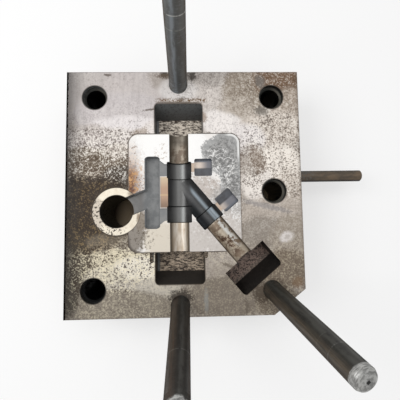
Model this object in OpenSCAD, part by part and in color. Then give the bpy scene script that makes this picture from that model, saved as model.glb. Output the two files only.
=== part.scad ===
// Cover half of a cold chamber die casting mould for a Y branch pipe fitting.
// The mould lies on its back: the parting face looks up (+Z), the origin is the
// centre of the back face, +X is the side with the lifting bar.
// Three angle pins lean outwards over three slide pockets. The slides, cores and
// the moving half of the mould are separate products and are not drawn.

/* [Die block] */
// Size of the die block along X
block_width = 480; // [470:1:520]
// Size of the die block along Y
block_height = 500; // [500:1:540]
// Thickness of the die block, back face to parting face
block_thickness = 140; // [132:1:160]
// Cut corner next to the branch pin, along X
corner_cut_x = 64; // [50:1:68]
// Cut corner next to the branch pin, along Y
corner_cut_y = 50; // [40:1:54]
// Chamfer round the outer edges of the die block
block_chamfer = 2; // [1:0.5:2]
// Depth of the clamp slots in the two long sides
clamp_slot_depth = 20; // [12:1:22]
// Opening of the clamp slots
clamp_slot_height = 28; // [20:1:34]
// Height of the clamp ledge over the back face
clamp_ledge = 32; // [28:1:38]

/* [Cavity insert] */
// Size of the cavity insert along X
insert_width = 227; // [222:1:236]
// Size of the cavity insert along Y
insert_height = 240; // [236:1:246]
// Depth of the insert in the die block
insert_depth = 80; // [74:1:86]
// Corner radius of the insert
insert_corner = 20; // [14:1:20]
// Gap at the side walls of the insert and other seated plates
seat_gap = 0.3; // [0.1:0.05:0.5]
// Offset of the casting and the insert from the centre of the block, along Y
casting_y = -2; // [-2:1:2]

/* [Casting cavity] */
// Offset of the main bore of the casting from the centre of the block, along X
main_axis_x = -11; // [-14:1:-8]
// Length of the main tube of the casting
casting_length = 124; // [116:1:130]
// Diameter of the main tube between its collars
tube_dia = 46; // [40:1:48]
// Diameter of the collars
collar_dia = 50; // [48:1:54]
// Length of each main collar
collar_length = 34; // [28:1:38]
// Chamfer at the ends of the collars
collar_chamfer = 1.5; // [0.5:0.5:3]
// Diameter of the two core seats of the main tube
core_dia = 39; // [30:1:41]
// Diameter of the core seat of the branch
branch_core_dia = 38; // [36:1:40]
// Angle of the branch below the X axis
branch_angle = 50; // [49:0.5:51]
// Height of the branch crossing over the middle of the casting
branch_rise = 21; // [18:1:24]
// Distance from the crossing to the collar of the branch
branch_collar_start = 79.5; // [76:0.5:84]
// Length of the collar of the branch
branch_collar_length = 29; // [24:1:32]

/* [Runner and overflow wells] */
// Width of the runner bar
runner_width = 31; // [26:1:35]
// Length of the runner bar
runner_length = 147; // [136:1:152]
// Depth of the runner bar and the shot channel
runner_depth = 14; // [10:1:16]
// Gap between the runner bar and the collars, bridged by the gates
gate_length = 14; // [9:1:15]
// Width of each gate at the casting
gate_width = 25; // [18:1:28]
// Depth of the gates
gate_depth = 4; // [2.5:0.5:5]
// Width of the channel from the shot sleeve to the runner bar
shot_channel_width = 39; // [30:1:42]
// Angle of that channel above the X axis
shot_channel_angle = 22; // [18:1:26]
// Depth of the overflow wells
well_depth = 9; // [6:0.5:11]

/* [Slide pockets] */
// Width of each slide pocket
pocket_width = 99; // [90:1:102]
// Depth of each slide pocket
pocket_depth = 50; // [44:1:54]
// Slope of the locking face from the mould axis
wedge_angle = 22; // [20:0.5:23]
// Corner radius of the pockets at the parting face
pocket_corner = 10; // [6:1:12]
// Distance from the middle of the casting to the locking edge of the main pockets
main_pocket_end = 184; // [180:1:186]
// Distance from the crossing to the near wall of the branch pocket
branch_pocket_start = 199.5; // [197:0.5:202]
// Distance from the crossing to the locking edge of the branch pocket
branch_pocket_end = 260.5; // [257:0.5:262]

/* [Angle pins] */
// Working diameter of the angle pins
pin_dia = 37; // [34:0.5:38]
// Diameter of the shank that is pressed into the die block
shank_dia = 38.5; // [38:0.5:40]
// Lean of the pins from the mould axis
pin_angle = 20; // [18:0.5:20]
// Distance from the middle of the casting to a main pin at the parting face
main_pin_place = 225; // [223:0.5:225.5]
// Distance from the crossing to the branch pin at the parting face
branch_pin_place = 287; // [286:0.5:289]
// Reach of the main pins beyond the parting face, along the pin
main_pin_reach = 218; // [180:1:230]
// Reach of the branch pin beyond the parting face, along the pin
branch_pin_reach = 250; // [200:1:260]
// Length of the rounded tip of a pin
pin_tip = 7; // [4:1:9]
// Diameter of the head of a pin
pin_head_dia = 46; // [44:1:48]
// Thickness of the plates that hold the pins from behind
retainer_thickness = 18; // [16:1:20]

/* [Shot sleeve] */
// Centre of the shot sleeve along X
sleeve_x = -137.5; // [-139:0.5:-136]
// Centre of the shot sleeve along Y
sleeve_y = -39.5; // [-42:0.5:-37]
// Bore of the shot sleeve
sleeve_bore = 65; // [50:1:68]
// Outer diameter of the shot sleeve
sleeve_dia = 97; // [90:1:99]
// Diameter of the flange of the sleeve
sleeve_flange_dia = 122; // [118:1:124]
// Thickness of the flange
sleeve_flange = 22; // [18:1:24]
// Outer diameter of the clamp ring
clamp_ring_dia = 160; // [158:1:162]
// Register bore in the clamp ring
register_bore = 110; // [100:1:112]
// Thickness of the clamp ring
clamp_ring = 14; // [12:1:16]

/* [Guide bushes] */
// Distance of the outer bushes from the centre of the block, along X
bush_x = 182.5; // [180:0.5:184]
// Distance of the outer bushes from the centre of the block, along Y
bush_y = 195; // [192:0.5:196]
// Outer diameter of the bushes
bush_dia = 50; // [46:1:52]
// Running bore of the bushes
bush_bore = 40; // [30:1:42]
// Head diameter of the bushes
bush_head_dia = 60; // [56:1:62]
// Recess of the bushes below the parting face
bush_recess = 9; // [2:1:12]
// Length of the running bore
bush_run = 80; // [60:1:90]

/* [Lifting bar] */
// Place of the lifting bar along Y
bar_y = 37; // [32:1:42]
// Diameter of the lifting bar
bar_dia = 25; // [20:1:28]
// Reach of the bar beyond the side of the block
bar_reach = 160; // [120:1:200]
// Thread diameter of the bar
bar_thread = 20; // [16:1:20]

/* [Hidden] */
$fn = 64;

// Radial gap between a round piece and its hole
fit_gap = 0.05;
// Overrun of a cutting shape past the face it opens
over = 1;
parting = block_thickness;
insert_floor = parting - insert_depth;

// Slides: 0 upper, 1 lower, 2 branch. Each has a direction in the parting plane,
// a start point on the casting, the two ends of its pocket and its pin.
slide_angles = [90, -90, -branch_angle];
slide_origins = [[main_axis_x, casting_y], [main_axis_x, casting_y],
    [main_axis_x, casting_y + branch_rise]];
pocket_starts = [insert_height / 2 - over, insert_height / 2 - over, branch_pocket_start];
pocket_ends = [main_pocket_end, main_pocket_end, branch_pocket_end];
pin_places = [main_pin_place, main_pin_place, branch_pin_place];
pin_reaches = [main_pin_reach, main_pin_reach, branch_pin_reach];

// Angle pins: distances are along the pin, from where its axis meets the back face
pin_shoulder = 38;
pin_shank_recess = 2;
head_gap = 0.3;
retainer_length = 100;
retainer_width = 62;
retainer_corner = 8;
retainer_screw_span = 78;

// Cap screws as [thread diameter, head diameter, head height, sunk depth]
small_screw = [8, 13, 8, 9];
large_screw = [16, 24, 16, 20];
small_screw_length = 38;
insert_screw_grip = 22;
insert_tap_depth = 25;
large_screw_length = insert_floor - large_screw[3] + large_screw[2] + insert_screw_grip;
socket_share = 0.45;
insert_screw_x = 62;
insert_screw_y = 100;
ring_screw_count = 6;
ring_screw_pcd = (clamp_ring_dia + sleeve_flange_dia) / 2;

// Cooling circuit: two lines from the left side, one loop in the insert
coolant_dia = 10;
coolant_lines = [48, 76];
coolant_riser_x = -85;
coolant_cross_x = 80;
coolant_feed_z = 44;
coolant_loop_rise = 28;
coolant_loop_z = insert_floor + coolant_loop_rise;
plug_dia = 14;
plug_length = 12;
seal_wire = 2.5;
seal_dia = 18;

// Guide bushes
bush_places = [[-bush_x, bush_y], [bush_x, bush_y], [bush_x, casting_y], [-bush_x, -bush_y]];
bush_head = 10;
bush_lead = 3;
bush_relief = 1.5;

// Lifting bar and the tapped holes for eye bolts beside it
bar_z = parting / 2;
bar_thread_depth = 34;
bar_nut = 16;
bar_nut_dia = 34;
eye_bolt_hole = 21;
eye_bolt_depth = 42;
eye_bolt_places = [120, -95];

// Pry slots at the lower edge of the insert, as [centre along X, length]
pry_slots = [[-67, 21], [41, 13]];
pry_slot_width = 8;
pry_slot_depth = 10;

// Overflow wells
well_length = 36;
well_width = 36;
well_corner = 4;
well_land = 6;
vent_width = 18;
vent_depth = 2;
upper_well_y = 50;
branch_well_place = 90.5;

steel = [0.62, 0.58, 0.54];
insert_steel = [0.82, 0.81, 0.79];
dark_steel = [0.27, 0.27, 0.27];
sleeve_steel = [0.80, 0.77, 0.70];
brass = [0.72, 0.58, 0.30];
rubber = [0.08, 0.08, 0.08];

// Carry children to a slide: X is the outward direction, Z stays up
module at_slide(i) {
    translate([slide_origins[i][0], slide_origins[i][1], 0])
        rotate([0, 0, slide_angles[i]]) children();
}

// Carry children to the axis of an angle pin: Z runs along the pin
module at_pin(i) {
    at_slide(i)
        translate([pin_places[i] - parting * tan(pin_angle), 0, 0])
            rotate([0, pin_angle, 0]) children();
}

module rounded_rectangle(length, width, radius) {
    square([length - 2 * radius, width], center = true);
    square([length, width - 2 * radius], center = true);
    for (x = [-1, 1], y = [-1, 1])
        translate([x * (length / 2 - radius), y * (width / 2 - radius)]) circle(radius);
}

// Plan of the die block with its cut corner
block_plan = [
    [-block_width / 2, -block_height / 2],
    [block_width / 2 - corner_cut_x, -block_height / 2],
    [block_width / 2, -block_height / 2 + corner_cut_y],
    [block_width / 2, block_height / 2],
    [-block_width / 2, block_height / 2]];

// Slab behind one edge of the plan, chamfered at both faces; the slabs of all the
// edges share the chamfered block
module chamfered_slab(from, to) {
    run = to - from;
    reach = block_width + block_height;
    translate([from[0], from[1], 0]) rotate([0, 0, atan2(run[1], run[0])])
        translate([-reach, 0, 0]) rotate([90, 0, 90]) linear_extrude(2 * reach) polygon([
            [0, block_chamfer], [block_chamfer, 0], [reach, 0], [reach, parting],
            [block_chamfer, parting], [0, parting - block_chamfer]]);
}

module block_body() {
    last = len(block_plan) - 1;
    intersection_for (i = [0:last])
        chamfered_slab(block_plan[i], block_plan[i == last ? 0 : i + 1]);
}

module cap_screw(size, length) {
    difference() {
        union() {
            cylinder(d = size[1], h = size[2]);
            translate([0, 0, size[2]]) cylinder(d = size[0], h = length - size[2]);
        }
        translate([0, 0, -over])
            cylinder(d = size[1] * socket_share * 2 / sqrt(3), h = size[2] / 2 + over, $fn = 6);
    }
}

// Space for a cap screw, head from the back; the head rests at depth size[3]
module cap_screw_hole(size, length) {
    translate([0, 0, -over]) cylinder(d = size[1] + 2, h = size[3] + over);
    cylinder(d = size[0] + 1, h = length);
}

// Full round bodies of the casting; only the lower half meets the insert
function tube_profile(half, collar, tube, radius) = [
    [0, -half], [radius - collar_chamfer, -half], [radius, -half + collar_chamfer],
    [radius, -half + collar - collar_chamfer], [tube, -half + collar]];

module main_tube_void() {
    half = casting_length / 2;
    reach = insert_height / 2 + over;
    end = tube_profile(half, collar_length, tube_dia / 2, collar_dia / 2);
    mirrored = [for (i = [4:-1:0]) [end[i][0], -end[i][1]]];
    translate([main_axis_x, casting_y, parting]) rotate([90, 0, 0]) {
        rotate_extrude() polygon(concat(end, mirrored));
        cylinder(d = core_dia, h = 2 * reach, center = true);
    }
}

module branch_void(reach) {
    start = branch_collar_start;
    end = start + branch_collar_length;
    at_slide(2) translate([0, 0, parting]) rotate([0, 90, 0]) {
        cylinder(d = tube_dia, h = start + over);
        rotate_extrude() polygon([
            [0, start], [collar_dia / 2 - collar_chamfer, start],
            [collar_dia / 2, start + collar_chamfer], [collar_dia / 2, end - collar_chamfer],
            [collar_dia / 2 - collar_chamfer, end], [0, end]]);
        cylinder(d = branch_core_dia, h = reach);
    }
}

module branch_seat_void() {
    at_slide(2) translate([0, 0, parting]) rotate([0, 90, 0])
        translate([0, 0, branch_collar_start + branch_collar_length])
            cylinder(d = branch_core_dia,
                h = branch_pocket_start - branch_collar_start - branch_collar_length + over);
}

// Channel of trapezoid section along X, open at the parting face
module channel(length, width, depth, draft) {
    rotate([90, 0, 90]) linear_extrude(length) polygon([
        [-width / 2 + draft, -depth], [width / 2 - draft, -depth],
        [width / 2 + draft * over / depth, over], [-width / 2 - draft * over / depth, over]]);
}

runner_draft = 3;
runner_right = main_axis_x - collar_dia / 2 - gate_length;
runner_middle = runner_right - runner_width / 2;
gate_centre = (casting_length - collar_length) / 2;

module runner_bar_void() {
    translate([runner_middle, casting_y, parting]) intersection() {
        translate([0, 0, -runner_depth - over])
            linear_extrude(runner_depth + 2 * over)
                rounded_rectangle(runner_width + runner_draft, runner_length, 10);
        translate([0, -runner_length / 2 - over, 0]) rotate([0, 0, 90])
            channel(runner_length + 2 * over, runner_width, runner_depth, runner_draft);
    }
}

// One gate fans out from the collar towards the end of the runner bar
module gate_void(side) {
    flare = runner_length / 2 - gate_centre - gate_width / 2 - 4;
    translate([runner_right, casting_y, parting - gate_depth])
        linear_extrude(gate_depth + over)
            scale([1, side]) polygon([
                [-6, gate_centre - gate_width / 2],
                [gate_length + 3, gate_centre - gate_width / 2],
                [gate_length + 3, gate_centre + gate_width / 2],
                [gate_length - 4, gate_centre + gate_width / 2],
                [-6, gate_centre + gate_width / 2 + flare]]);
}

module shot_channel_void() {
    reach = (runner_middle - sleeve_x) / cos(shot_channel_angle);
    translate([sleeve_x, sleeve_y, parting]) rotate([0, 0, shot_channel_angle])
        channel(reach, shot_channel_width, runner_depth, runner_draft);
}

// Overflow well: X runs down its ramp, the steep wall is at the far end
module well_void(length, width) {
    ramp = length / 2;
    intersection() {
        translate([length / 2, 0, -well_depth - over])
            linear_extrude(well_depth + 2 * over) rounded_rectangle(length, width, well_corner);
        rotate([90, 0, 0]) linear_extrude(width, center = true) polygon([
            [0, over], [0, 0], [ramp, -well_depth], [length - 2, -well_depth],
            [length, 0], [length, over]]);
    }
}

module overflow_void() {
    edge = collar_dia / 2;
    // Well beside the upper collar, ramp rising towards -Y
    translate([main_axis_x, casting_y + upper_well_y, parting]) {
        translate([edge + well_land + well_length / 2, -well_width / 2, 0]) rotate([0, 0, 90])
            well_void(well_width, well_length);
        translate([edge - 3, -vent_width / 2, -vent_depth])
            cube([well_land + 5, vent_width, vent_depth + over]);
    }
    // Well beside the branch collar
    at_slide(2) translate([branch_well_place, edge + well_land, parting]) {
        translate([-well_width / 2, well_length / 2, 0]) well_void(well_width, well_length);
        translate([-vent_width / 2, -well_land - 3, -vent_depth])
            cube([vent_width, well_land + 5, vent_depth + over]);
    }
}

module slide_pocket_void(i) {
    start = pocket_starts[i];
    end = pocket_ends[i];
    foot = end - pocket_depth * tan(wedge_angle);
    length = end + over - start;
    at_slide(i) translate([0, 0, parting]) intersection() {
        translate([0, 0, -pocket_depth - over]) linear_extrude(pocket_depth + 2 * over) {
            translate([start + length / 2, 0])
                rounded_rectangle(length, pocket_width, pocket_corner);
            translate([start, -pocket_width / 2])
                square([length / 2, pocket_width]);
        }
        rotate([90, 0, 0]) linear_extrude(pocket_width + 2 * over, center = true) polygon([
            [start, -pocket_depth], [foot, -pocket_depth], [end, 0], [end, over],
            [start, over]]);
    }
}

module retainer_plan(gap) {
    rounded_rectangle(retainer_width + 2 * gap, retainer_length + 2 * gap, retainer_corner + gap);
}

// The retainer plates lie over the heads, on the back face
module at_retainer(i) {
    at_slide(i) translate([pin_places[i] - parting * tan(pin_angle), 0, 0]) children();
}

module at_retainer_screws(i) {
    at_retainer(i)
        for (side = [-1, 1]) translate([0, side * retainer_screw_span / 2, 0]) children();
}

module at_insert_screws() {
    for (x = [-1, 1], y = [-1, 1])
        translate([x * insert_screw_x, casting_y + y * insert_screw_y, 0]) children();
}

module at_ring_screws() {
    translate([sleeve_x, sleeve_y, 0])
        for (i = [0:ring_screw_count - 1])
            rotate([0, 0, (i + 0.5) * 360 / ring_screw_count])
                translate([ring_screw_pcd / 2, 0, 0]) children();
}

module pin_void(i) {
    at_pin(i) {
        cylinder(d = shank_dia + 2 * fit_gap, h = parting / cos(pin_angle) + shank_dia);
        translate([0, 0, -pin_head_dia])
            cylinder(d = pin_head_dia + 2 * head_gap, h = pin_head_dia + pin_shoulder);
    }
    at_retainer(i) translate([0, 0, -over])
        linear_extrude(retainer_thickness + over) retainer_plan(seat_gap);
    at_retainer_screws(i) cylinder(d = small_screw[0] + 2 * fit_gap, h = small_screw_length + 6);
}

module sleeve_void() {
    translate([sleeve_x, sleeve_y, 0]) {
        translate([0, 0, -over]) cylinder(d = clamp_ring_dia + 2 * seat_gap, h = clamp_ring + over);
        cylinder(d = sleeve_flange_dia + 2 * seat_gap, h = clamp_ring + sleeve_flange);
        cylinder(d = sleeve_dia + 2 * fit_gap, h = parting + over);
    }
    at_ring_screws() cylinder(d = small_screw[0] + 2 * fit_gap, h = small_screw_length + 6);
}

module bush_void(place) {
    translate([place[0], place[1], -over]) {
        cylinder(d = bush_dia + 2 * fit_gap, h = parting + 2 * over);
        cylinder(d = bush_head_dia + 2 * head_gap, h = bush_head + over);
    }
}

module pry_slot_void(slot) {
    edge = casting_y - insert_height / 2;
    translate([slot[0], edge - slot[1] + pry_slot_width / 2, parting - pry_slot_depth]) {
        cylinder(d = pry_slot_width, h = pry_slot_depth + over);
        translate([-pry_slot_width / 2, 0, 0])
            cube([pry_slot_width, slot[1] - pry_slot_width / 2 + over, pry_slot_depth + over]);
    }
}

module clamp_slot_void(side) {
    translate([-block_width / 2 - over,
            side * (block_height / 2 - clamp_slot_depth / 2 + over / 2)
                - (clamp_slot_depth + over) / 2, clamp_ledge])
        cube([block_width + 2 * over, clamp_slot_depth + over, clamp_slot_height]);
}

module block_coolant_void() {
    for (y = coolant_lines) {
        translate([-block_width / 2 - over, y, coolant_feed_z]) rotate([0, 90, 0]) {
            cylinder(d = coolant_dia, h = coolant_riser_x + block_width / 2 + over);
            cylinder(d = plug_dia + 2 * fit_gap, h = plug_length + over);
        }
        translate([coolant_riser_x, y, coolant_feed_z]) {
            cylinder(d = coolant_dia, h = insert_floor - coolant_feed_z + over);
            translate([0, 0, insert_floor - coolant_feed_z - seal_wire]) difference() {
                cylinder(d = seal_dia + seal_wire + 2 * fit_gap, h = seal_wire + over);
                translate([0, 0, -over])
                    cylinder(d = seal_dia - seal_wire - 2 * fit_gap, h = seal_wire + 3 * over);
            }
        }
    }
}

module insert_coolant_void() {
    side = insert_width / 2 + over;
    top = insert_height / 2 + casting_y + over;
    for (y = coolant_lines) {
        translate([coolant_riser_x, y, insert_floor - over])
            cylinder(d = coolant_dia, h = coolant_loop_z - insert_floor + over);
        translate([side, y, coolant_loop_z]) rotate([0, -90, 0]) {
            cylinder(d = coolant_dia, h = side - coolant_riser_x);
            cylinder(d = plug_dia + 2 * fit_gap, h = plug_length + over);
        }
    }
    translate([coolant_cross_x, top, coolant_loop_z]) rotate([90, 0, 0]) {
        cylinder(d = coolant_dia, h = top - coolant_lines[0]);
        cylinder(d = plug_dia + 2 * fit_gap, h = plug_length + over);
    }
}

module cover_die_block() {
    color(steel) difference() {
        block_body();
        translate([0, casting_y, insert_floor]) linear_extrude(insert_depth + over)
            rounded_rectangle(insert_width + 2 * seat_gap, insert_height + 2 * seat_gap,
                insert_corner + seat_gap);
        branch_seat_void();
        for (i = [0:2]) {
            slide_pocket_void(i);
            pin_void(i);
        }
        sleeve_void();
        for (place = bush_places) bush_void(place);
        for (side = [-1, 1]) clamp_slot_void(side);
        for (slot = pry_slots) pry_slot_void(slot);
        at_insert_screws() cap_screw_hole(large_screw, insert_floor + over);
        block_coolant_void();
        translate([block_width / 2 - bar_thread_depth, bar_y, bar_z]) rotate([0, 90, 0])
            cylinder(d = bar_thread + 2 * fit_gap, h = bar_thread_depth + over);
        for (y = eye_bolt_places)
            translate([block_width / 2 - eye_bolt_depth, y, bar_z]) rotate([0, 90, 0])
                cylinder(d = eye_bolt_hole, h = eye_bolt_depth + over);
    }
}

module cavity_insert() {
    color(insert_steel) difference() {
        translate([0, casting_y, insert_floor]) linear_extrude(insert_depth)
            rounded_rectangle(insert_width, insert_height, insert_corner);
        main_tube_void();
        branch_void(branch_pocket_start);
        runner_bar_void();
        for (side = [-1, 1]) gate_void(side);
        shot_channel_void();
        overflow_void();
        translate([sleeve_x, sleeve_y, insert_floor - over])
            cylinder(d = sleeve_dia + 2 * fit_gap, h = insert_depth + 2 * over);
        at_insert_screws() translate([0, 0, insert_floor - over])
            cylinder(d = large_screw[0] + 2 * fit_gap, h = insert_tap_depth + over);
        insert_coolant_void();
    }
}

module shot_sleeve() {
    lip = 1;
    color(sleeve_steel) difference() {
        translate([sleeve_x, sleeve_y, 0]) rotate_extrude() polygon([
            [sleeve_bore / 2, clamp_ring], [sleeve_flange_dia / 2, clamp_ring],
            [sleeve_flange_dia / 2, clamp_ring + sleeve_flange],
            [sleeve_dia / 2, clamp_ring + sleeve_flange],
            [sleeve_dia / 2, parting - lip], [sleeve_dia / 2 - lip, parting],
            [sleeve_bore / 2 + lip, parting], [sleeve_bore / 2, parting - lip]]);
        shot_channel_void();
    }
}

module sleeve_clamp_ring() {
    lead = 2;
    color(steel) difference() {
        translate([sleeve_x, sleeve_y, 0]) rotate_extrude() polygon([
            [register_bore / 2 + lead, 0], [clamp_ring_dia / 2, 0],
            [clamp_ring_dia / 2, clamp_ring], [register_bore / 2, clamp_ring],
            [register_bore / 2, lead]]);
        at_ring_screws() cap_screw_hole(small_screw, clamp_ring + over);
    }
}

module guide_bush(place) {
    top = parting - bush_recess;
    run_start = top - bush_lead - bush_run;
    color(dark_steel) translate([place[0], place[1], 0]) rotate_extrude() polygon([
        [bush_bore / 2 + bush_relief, 0], [bush_head_dia / 2, 0],
        [bush_head_dia / 2, bush_head], [bush_dia / 2, bush_head],
        [bush_dia / 2, top], [bush_bore / 2 + bush_lead, top],
        [bush_bore / 2, top - bush_lead], [bush_bore / 2, run_start],
        [bush_bore / 2 + bush_relief, run_start - bush_relief]]);
}

module angle_pin(i) {
    face = parting / cos(pin_angle) - pin_shank_recess;
    end = parting / cos(pin_angle) + pin_reaches[i];
    color(dark_steel) difference() {
        at_pin(i) {
            translate([0, 0, -pin_head_dia]) cylinder(d = pin_head_dia, h = pin_head_dia + pin_shoulder);
            cylinder(d = shank_dia, h = face);
            rotate_extrude() polygon([
                [0, face - over], [pin_dia / 2, face - over], [pin_dia / 2, end - pin_tip],
                [pin_dia / 2 - pin_tip * 0.3, end - pin_tip * 0.4],
                [pin_dia / 2 - pin_tip, end], [0, end]]);
        }
        at_retainer(i) translate([-pin_head_dia * 2, -pin_head_dia, retainer_thickness - 2 * pin_head_dia])
            cube([pin_head_dia * 4, pin_head_dia * 2, pin_head_dia * 2]);
    }
}

module pin_retainer(i) {
    color(steel) difference() {
        at_retainer(i) linear_extrude(retainer_thickness) retainer_plan(0);
        at_retainer_screws(i) cap_screw_hole(small_screw, retainer_thickness + over);
    }
}

module retainer_screws() {
    color(dark_steel) for (i = [0:2]) at_retainer_screws(i)
        translate([0, 0, small_screw[3] - small_screw[2]]) cap_screw(small_screw, small_screw_length);
}

module insert_screws() {
    color(dark_steel) at_insert_screws()
        translate([0, 0, large_screw[3] - large_screw[2]]) cap_screw(large_screw, large_screw_length);
}

module clamp_ring_screws() {
    color(dark_steel) at_ring_screws()
        translate([0, 0, small_screw[3] - small_screw[2]]) cap_screw(small_screw, small_screw_length);
}

module lifting_bar() {
    bevel = 2;
    start = block_width / 2 + bar_nut;
    color(dark_steel) translate([0, bar_y, bar_z]) rotate([0, 90, 0]) {
        translate([0, 0, block_width / 2 - bar_thread_depth + over])
            cylinder(d = bar_thread, h = bar_thread_depth + bar_nut);
        rotate_extrude() polygon([
            [0, start], [bar_dia / 2 - bevel / 2, start], [bar_dia / 2, start + bevel / 2],
            [bar_dia / 2, block_width / 2 + bar_reach - bevel],
            [bar_dia / 2 - bevel, block_width / 2 + bar_reach], [0, block_width / 2 + bar_reach]]);
    }
}

module lifting_bar_nut() {
    color(dark_steel) translate([block_width / 2, bar_y, bar_z]) rotate([0, 90, 0])
        difference() {
            cylinder(d = bar_nut_dia, h = bar_nut, $fn = 6);
            translate([0, 0, -over])
                cylinder(d = bar_thread + 2 * fit_gap, h = bar_nut + 2 * over);
        }
}

// Hose fitting: thread in the block, hexagon, plain stem with a tapered end
module coolant_fitting(y) {
    hex_dia = 22;
    hex_height = 8;
    stem = 6;
    stem_length = 20;
    bore = 8;
    taper = 1;
    tip = hex_height + stem_length + 3 * taper;
    color(brass) translate([-block_width / 2, y, coolant_feed_z]) rotate([0, -90, 0])
        difference() {
            union() {
                translate([0, 0, over - plug_length]) cylinder(d = plug_dia, h = plug_length - over);
                cylinder(d = hex_dia, h = hex_height, $fn = 6);
                rotate_extrude() polygon([
                    [0, hex_height - over], [stem, hex_height - over],
                    [stem, hex_height + stem_length], [stem - taper, tip], [0, tip]]);
            }
            translate([0, 0, -plug_length]) cylinder(d = bore, h = plug_length + tip + over);
        }
}

module coolant_plugs() {
    side = insert_width / 2;
    top = insert_height / 2 + casting_y;
    color(brass) {
        for (y = coolant_lines) translate([side - plug_length, y, coolant_loop_z])
            rotate([0, 90, 0]) cylinder(d = plug_dia, h = plug_length);
        translate([coolant_cross_x, top, coolant_loop_z]) rotate([90, 0, 0])
            cylinder(d = plug_dia, h = plug_length);
    }
}

module coolant_seals() {
    color(rubber) for (y = coolant_lines)
        translate([coolant_riser_x, y, insert_floor - seal_wire / 2]) rotate_extrude()
            translate([seal_dia / 2, 0]) circle(d = seal_wire, $fn = 24);
}

cover_die_block();
cavity_insert();
shot_sleeve();
sleeve_clamp_ring();
guide_bush(bush_places[0]);  // guide_bush_upper_left
guide_bush(bush_places[1]);  // guide_bush_upper_right
guide_bush(bush_places[2]);  // guide_bush_right
guide_bush(bush_places[3]);  // guide_bush_lower_left
angle_pin(0);  // angle_pin_upper
angle_pin(1);  // angle_pin_lower
angle_pin(2);  // angle_pin_branch
pin_retainer(0);  // pin_retainer_upper
pin_retainer(1);  // pin_retainer_lower
pin_retainer(2);  // pin_retainer_branch
retainer_screws();
insert_screws();
clamp_ring_screws();
lifting_bar();
lifting_bar_nut();
coolant_fitting(coolant_lines[0]);  // coolant_inlet
coolant_fitting(coolant_lines[1]);  // coolant_outlet
coolant_plugs();
coolant_seals();
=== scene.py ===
import math

import bpy
import numpy as np
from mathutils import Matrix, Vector


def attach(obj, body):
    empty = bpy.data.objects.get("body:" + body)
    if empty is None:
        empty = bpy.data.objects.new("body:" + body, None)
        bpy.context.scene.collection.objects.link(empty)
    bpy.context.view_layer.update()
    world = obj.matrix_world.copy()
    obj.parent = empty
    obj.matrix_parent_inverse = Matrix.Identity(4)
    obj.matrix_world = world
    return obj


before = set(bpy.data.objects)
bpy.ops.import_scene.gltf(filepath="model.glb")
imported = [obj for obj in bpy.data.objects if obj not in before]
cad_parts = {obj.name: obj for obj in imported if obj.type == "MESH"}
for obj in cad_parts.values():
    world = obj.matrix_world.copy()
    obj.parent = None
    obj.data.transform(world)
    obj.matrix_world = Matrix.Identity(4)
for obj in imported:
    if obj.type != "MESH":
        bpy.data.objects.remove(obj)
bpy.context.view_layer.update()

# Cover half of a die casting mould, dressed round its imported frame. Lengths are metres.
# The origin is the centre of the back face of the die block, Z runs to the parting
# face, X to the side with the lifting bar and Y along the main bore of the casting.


# The view: a camera almost square over the parting face, its lens and place solved from
# the outline of the block, its bores and pockets in the photograph.
CAMERA_PLACE = (0.0089, -0.0652, 0.7761)
CAMERA_TURN = (4.282, -1.724, -0.928)
LENS = 28.39
SENSOR = 36.0
VIEW_SHIFT = (0.0022, -0.0009)

camera = bpy.data.objects.new("camera", bpy.data.cameras.new("camera"))
bpy.context.scene.collection.objects.link(camera)
bpy.context.scene.camera = camera
camera.location = CAMERA_PLACE
camera.rotation_euler = [math.radians(angle) for angle in CAMERA_TURN]
camera.data.sensor_width = SENSOR
camera.data.lens = LENS
camera.data.shift_x, camera.data.shift_y = VIEW_SHIFT


# The room: even light from all round, a wide soft lamp from the left and one from above,
# over a plain pale floor. Together they show a colour about as it is written.
ROOM_LIGHT = 0.50
LAMPS = [
    {"name": "window", "place": (-1.5, 0.25, 1.9), "size": 1.3, "power": 20},
    {"name": "ceiling", "place": (0.3, 0.6, 2.4), "size": 1.6, "power": 14},
]
FLOOR_SIZE = 16.0
FLOOR_TONE = 0.80
UNDER_BROWN = (0.60, 0.47, 0.32)
# Near black floor under the left of the block: painted shade
UNDER_PAINTED_SHADE = (0.03, 0.02, 0.015)
UNDER_HALF = 0.214
UNDER_FADE = (-0.149, -0.103)
BLOTCH_SCALE = 90
BLOTCH_SPREAD = 0.05


def lamp(name, place, size, power):
    """Square area lamp at a place, turned to the middle of the block."""
    light = bpy.data.lights.new(name, "AREA")
    light.energy = power
    light.size = size
    stand = bpy.data.objects.new(name, light)
    bpy.context.scene.collection.objects.link(stand)
    stand.location = place
    stand.rotation_euler = (-Vector(place)).to_track_quat("-Z", "Y").to_euler()


def feed(tree, socket, value):
    """Links an output to a socket, or sets the socket to a plain value."""
    if isinstance(value, bpy.types.NodeSocket):
        tree.links.new(value, socket)
    else:
        socket.default_value = value


def calc(tree, operation, *values):
    """Output of a math node with the given inputs."""
    node = tree.nodes.new("ShaderNodeMath")
    node.operation = operation
    for socket, value in zip(node.inputs, values):
        feed(tree, socket, value)
    return node.outputs[0]


def blend(tree, share, below, above):
    """Output of a colour mix node."""
    node = tree.nodes.new("ShaderNodeMix")
    node.data_type = "RGBA"
    for index, value in ((0, share), (6, below), (7, above)):
        feed(tree, node.inputs[index], value)
    return node.outputs[2]


def seen_directly(tree):
    """Output that is 1 where the camera, a reflection or glass looks straight at the surface."""
    path = tree.nodes.new("ShaderNodeLightPath")
    total = path.outputs["Is Camera Ray"]
    for ray in ("Is Glossy Ray", "Is Transmission Ray"):
        total = calc(tree, "MAXIMUM", total, path.outputs[ray])
    return total


for entry in LAMPS:
    lamp(**entry)

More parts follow.
